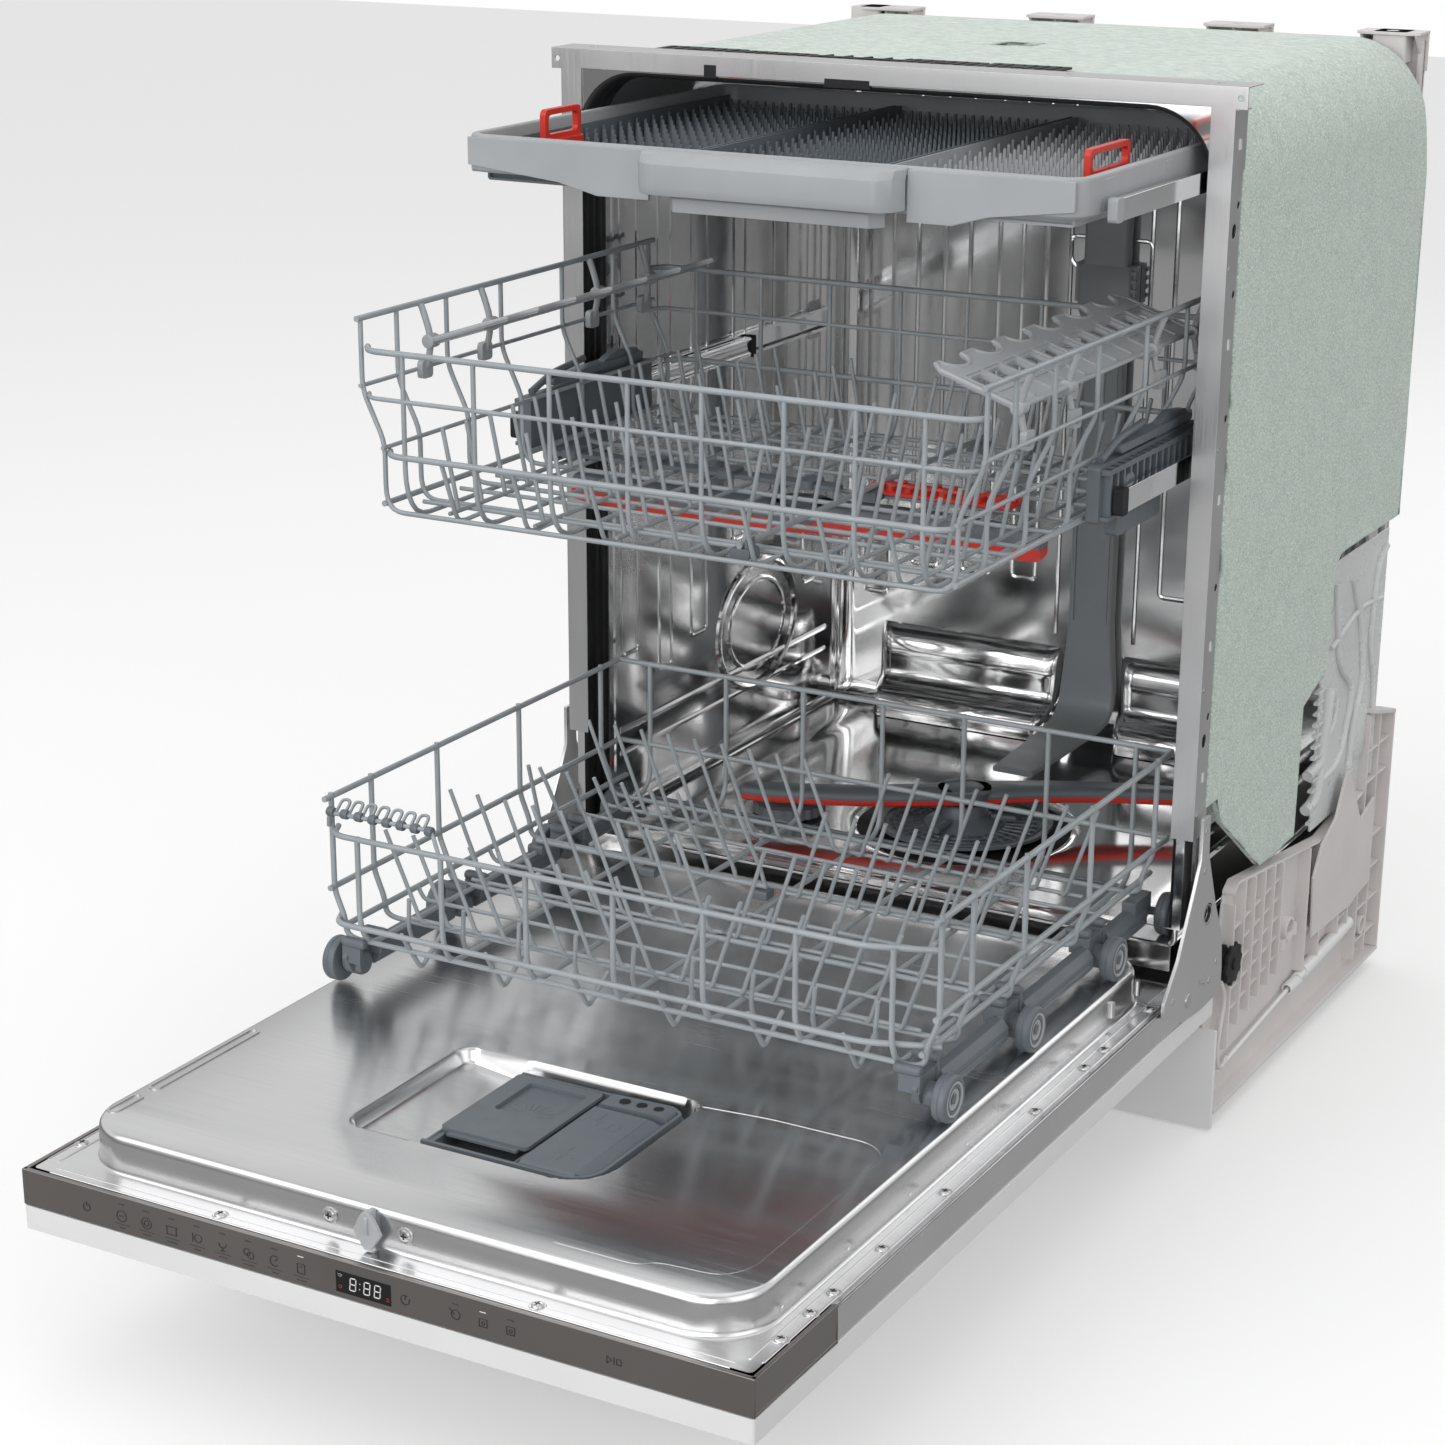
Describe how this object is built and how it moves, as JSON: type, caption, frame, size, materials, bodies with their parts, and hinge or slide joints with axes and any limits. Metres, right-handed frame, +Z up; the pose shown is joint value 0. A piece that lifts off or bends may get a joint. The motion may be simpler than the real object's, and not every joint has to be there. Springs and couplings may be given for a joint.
{
  "type": "built-in dishwasher",
  "caption": "Built-in dishwasher with its door open and two wire baskets and a cutlery tray pulled out, each on its own runners.",
  "frame": {"origin": "on the floor, at the middle of the width and of the length from the open door's edge to the back of the base", "axes": "+Z up, +X to the right of a person facing the machine, +Y into the kitchen unit"},
  "size_m": [0.598, 1.225, 0.86],
  "materials": {
    "tub_steel": "polished",
    "frame_steel": "satin",
    "door_steel": "satin",
    "strip_steel": "brushed",
    "chrome": "polished",
    "white_panel": "satin",
    "felt": "felt",
    "base_plastic": "moulded",
    "clear_plastic": "translucent",
    "dark_plastic": "moulded",
    "grey_plastic": "moulded",
    "wire": "plastic coated",
    "seal": "matte",
    "iron": "raw"
  },
  "bodies": {
    "cabinet": {"tub_shell": "tub_steel", "tub_floor": "tub_steel", "front_frame": "frame_steel", "door_gasket": "seal", "felt_cover": "felt", "base_tray": "base_plastic", "rear_panel": "base_plastic", "water_tank": "clear_plastic", "hinge_plate_right": "door_steel", "hinge_plate_left": "door_steel", "balance_spring_right": "grey_plastic", "balance_spring_left": "grey_plastic", "plinth_panel": "white_panel", "foot_front_right": "dark_plastic", "foot_front_left": "dark_plastic", "ballast_weight": "iron", "wash_pump": "dark_plastic", "filter_sump": "dark_plastic", "control_module": "dark_plastic", "water_duct": "dark_plastic", "upper_rail_right": "chrome", "upper_rail_left": "chrome"},
    "salt_cap": {"salt_cap": "grey_plastic"},
    "door": {"door_outer_panel": "white_panel", "door_liner": "door_steel", "control_strip": "strip_steel", "dispenser_housing": "dark_plastic"},
    "detergent_lid": {"detergent_lid": "dark_plastic"},
    "rinse_lid": {"rinse_lid": "dark_plastic"},
    "lower_spray_arm": {"lower_spray_arm": "dark_plastic"},
    "lower_carriage": {"rear_axle": "dark_plastic"},
    "lower_basket": {"lower_basket_floor": "wire", "lower_basket_side_right": "wire", "lower_basket_side_left": "wire", "lower_basket_front": "wire", "lower_basket_back": "wire"},
    "lower_folding_tines": {"lower_folding_tines": "wire"},
    "wheel_front_left": {"wheel_front_left": "dark_plastic"},
    "wheel_front_right": {"wheel_front_right": "dark_plastic"},
    "wheel_second_left": {"wheel_second_left": "dark_plastic"},
    "wheel_second_right": {"wheel_second_right": "dark_plastic"},
    "wheel_third_left": {"wheel_third_left": "dark_plastic"},
    "wheel_third_right": {"wheel_third_right": "dark_plastic"},
    "wheel_rear_left": {"wheel_rear_left": "dark_plastic"},
    "wheel_rear_right": {"wheel_rear_right": "dark_plastic"},
    "upper_basket": {"upper_basket_floor": "wire", "upper_basket_side_right": "wire", "upper_basket_side_left": "wire", "upper_basket_front": "wire", "upper_basket_back": "wire"},
    "upper_runners": {"upper_slide_right": "chrome", "upper_slide_left": "chrome"},
    "upper_spray_arm": {"upper_spray_arm": "dark_plastic"},
    "cup_shelf_right": {"cup_shelf_right": "grey_plastic"},
    "cup_shelf_left": {"cup_shelf_left": "grey_plastic"},
    "upper_folding_tines": {"upper_folding_tines": "wire"},
    "cutlery_tray": {"cutlery_tray": "grey_plastic", "cutlery_insert": "dark_plastic"},
    "tray_runners": {"tray_rail_right": "chrome", "tray_rail_left": "chrome"}
  },
  "joints": [
    {"name": "door_hinge", "type": "hinge", "parent": "cabinet", "child": "door", "pos_m": [0, 0.0975, 0.147], "axis": [1, 0, 0], "range_deg": [-20, 0]},
    {"name": "salt_cap_turn", "type": "hinge", "parent": "cabinet", "child": "salt_cap", "pos_m": [-0.15, 0.2575, 0.19], "axis": [0, 0, 1], "range_deg": [0, 120]},
    {"name": "detergent_lid_slide", "type": "slide", "parent": "door", "child": "detergent_lid", "axis": [-1, 0, 0], "range_m": [0, 0.05]},
    {"name": "rinse_lid_hinge", "type": "hinge", "parent": "door", "child": "rinse_lid", "pos_m": [0.06, -0.3725, 0.177], "axis": [1, 0, 0], "range_deg": [-100, 0]},
    {"name": "lower_arm_spin", "type": "hinge", "parent": "cabinet", "child": "lower_spray_arm", "pos_m": [0, 0.3075, 0.208], "axis": [0, 0, 1], "continuous": true},
    {"name": "lower_basket_slide", "type": "slide", "parent": "cabinet", "child": "lower_carriage", "axis": [0, 1, 0], "range_m": [0, 0.434]},
    {"name": "lower_basket_tilt", "type": "hinge", "parent": "lower_carriage", "child": "lower_basket", "pos_m": [0, 0.1355, 0.202], "axis": [1, 0, 0], "range_deg": [-19.2, 0]},
    {"name": "lower_tines_fold", "type": "hinge", "parent": "lower_basket", "child": "lower_folding_tines", "pos_m": [0, -0.0425, 0.232], "axis": [1, 0, 0], "range_deg": [0, 65]},
    {"name": "wheel_front_left_roll", "type": "hinge", "parent": "lower_basket", "child": "wheel_front_left", "pos_m": [-0.261, -0.2755, 0.202], "axis": [1, 0, 0], "continuous": true},
    {"name": "wheel_front_right_roll", "type": "hinge", "parent": "lower_basket", "child": "wheel_front_right", "pos_m": [0.261, -0.2755, 0.202], "axis": [1, 0, 0], "continuous": true},
    {"name": "wheel_second_left_roll", "type": "hinge", "parent": "lower_basket", "child": "wheel_second_left", "pos_m": [-0.261, -0.1345, 0.202], "axis": [1, 0, 0], "continuous": true},
    {"name": "wheel_second_right_roll", "type": "hinge", "parent": "lower_basket", "child": "wheel_second_right", "pos_m": [0.261, -0.1345, 0.202], "axis": [1, 0, 0], "continuous": true},
    {"name": "wheel_third_left_roll", "type": "hinge", "parent": "lower_basket", "child": "wheel_third_left", "pos_m": [-0.261, 0.0235, 0.202], "axis": [1, 0, 0], "continuous": true},
    {"name": "wheel_third_right_roll", "type": "hinge", "parent": "lower_basket", "child": "wheel_third_right", "pos_m": [0.261, 0.0235, 0.202], "axis": [1, 0, 0], "continuous": true},
    {"name": "wheel_rear_left_roll", "type": "hinge", "parent": "lower_carriage", "child": "wheel_rear_left", "pos_m": [-0.261, 0.1355, 0.202], "axis": [1, 0, 0], "continuous": true},
    {"name": "wheel_rear_right_roll", "type": "hinge", "parent": "lower_carriage", "child": "wheel_rear_right", "pos_m": [0.261, 0.1355, 0.202], "axis": [1, 0, 0], "continuous": true},
    {"name": "upper_basket_slide", "type": "slide", "parent": "cabinet", "child": "upper_basket", "axis": [0, 1, 0], "range_m": [0, 0.375]},
    {"name": "upper_runner_slide", "type": "slide", "parent": "cabinet", "child": "upper_runners", "axis": [0, 1, 0], "range_m": [0, 0.19]},
    {"name": "upper_arm_spin", "type": "hinge", "parent": "upper_basket", "child": "upper_spray_arm", "pos_m": [0, -0.0125, 0.527], "axis": [0, 0, 1], "continuous": true},
    {"name": "cup_shelf_right_fold", "type": "hinge", "parent": "upper_basket", "child": "cup_shelf_right", "pos_m": [0.246, 0.0075, 0.666], "axis": [0, 1, 0], "range_deg": [0, 72]},
    {"name": "cup_shelf_left_fold", "type": "hinge", "parent": "upper_basket", "child": "cup_shelf_left", "pos_m": [-0.246, 0.0075, 0.666], "axis": [0, -1, 0], "range_deg": [0, 72]},
    {"name": "upper_tines_fold", "type": "hinge", "parent": "upper_basket", "child": "upper_folding_tines", "pos_m": [0.06, 0.1075, 0.56], "axis": [0, 1, 0], "range_deg": [0, 75]},
    {"name": "cutlery_tray_slide", "type": "slide", "parent": "cabinet", "child": "cutlery_tray", "axis": [0, 1, 0], "range_m": [0, 0.255]},
    {"name": "tray_runner_slide", "type": "slide", "parent": "cabinet", "child": "tray_runners", "axis": [0, 1, 0], "range_m": [0, 0.128]}
  ],
  "couplings": [
    {"joint": "lower_basket_tilt", "follows": "door_hinge", "ratio": 0.95},
    {"joint": "wheel_front_left_roll", "follows": "lower_basket_slide", "rad_per_m": -56.5},
    {"joint": "wheel_front_right_roll", "follows": "lower_basket_slide", "rad_per_m": -56.5},
    {"joint": "wheel_second_left_roll", "follows": "lower_basket_slide", "rad_per_m": -56.5},
    {"joint": "wheel_second_right_roll", "follows": "lower_basket_slide", "rad_per_m": -56.5},
    {"joint": "wheel_third_left_roll", "follows": "lower_basket_slide", "rad_per_m": -56.5},
    {"joint": "wheel_third_right_roll", "follows": "lower_basket_slide", "rad_per_m": -56.5},
    {"joint": "wheel_rear_left_roll", "follows": "lower_basket_slide", "rad_per_m": -56.5},
    {"joint": "wheel_rear_right_roll", "follows": "lower_basket_slide", "rad_per_m": -56.5},
    {"joint": "upper_runner_slide", "follows": "upper_basket_slide", "ratio": 0.5},
    {"joint": "tray_runner_slide", "follows": "cutlery_tray_slide", "ratio": 0.5}
  ]
}
